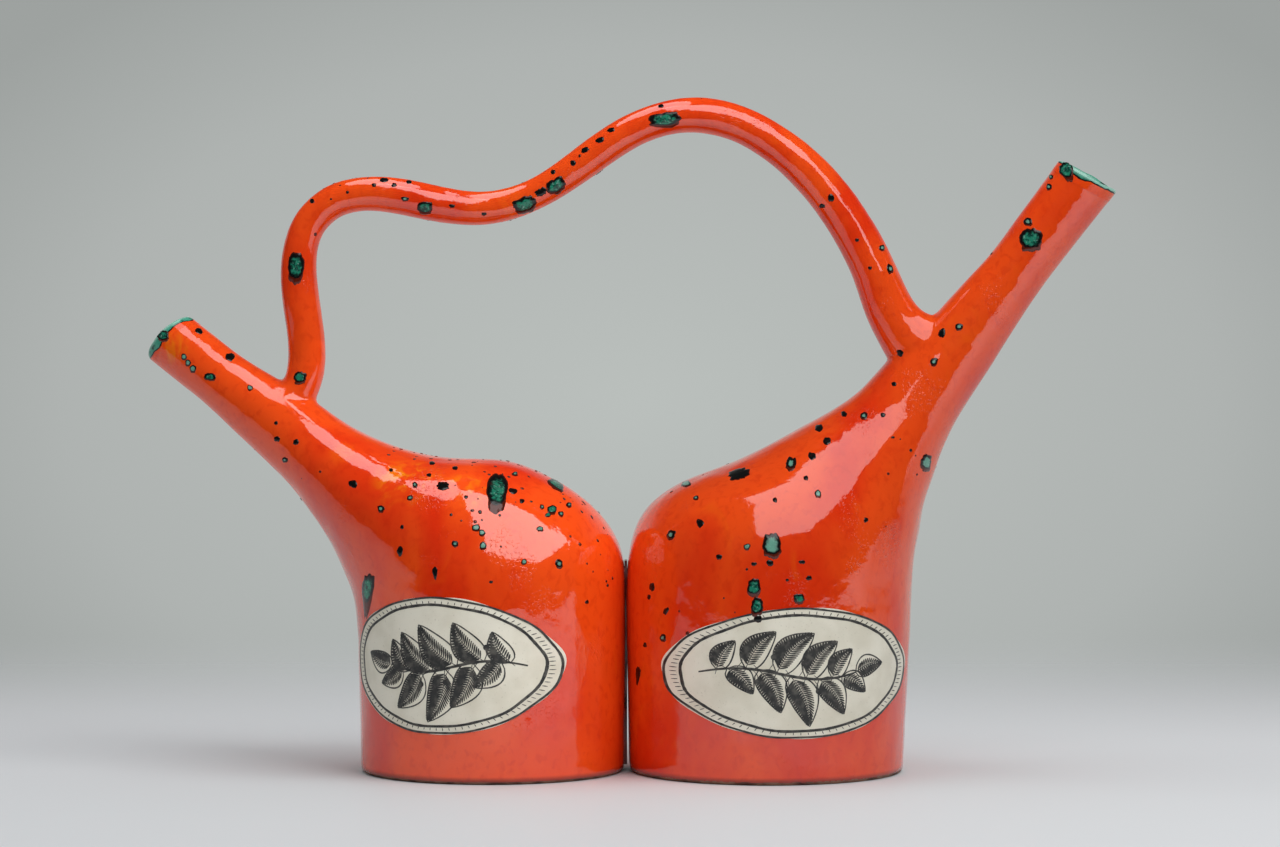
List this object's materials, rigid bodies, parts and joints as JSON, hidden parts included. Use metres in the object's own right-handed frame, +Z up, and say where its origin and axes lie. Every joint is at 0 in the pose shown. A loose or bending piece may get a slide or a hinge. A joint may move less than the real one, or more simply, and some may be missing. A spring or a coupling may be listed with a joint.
{
  "type": "conjoined ceramic water jug",
  "caption": "Conjoined glazed earthenware water jugs: round vessels side by side, each drawn out into a slanted spout, under a shared wavy handle.",
  "frame": {"origin": "on the table, under the middle of the whole object's bounding box", "axes": "+X from the low-spouted vessel to the high-spouted one, +Y to the back, +Z up"},
  "size_m": [0.3876, 0.113, 0.2692],
  "materials": {
    "red_glaze": "glossy",
    "rim": "glossy",
    "foot": "glossy",
    "panel": "glossy",
    "slip": "glossy"
  },
  "bodies": {
    "root": {"left_body": "red_glaze", "right_body": "red_glaze", "left_spout": "red_glaze", "right_spout": "red_glaze", "handle": "red_glaze", "left_handle_foot": "red_glaze", "right_handle_foot": "red_glaze", "left_mouth_ring": "rim", "right_mouth_ring": "rim", "left_base": "foot", "right_base": "foot", "left_panel": "panel", "right_panel": "panel", "slip_seam": "slip"}
  },
  "joints": []
}
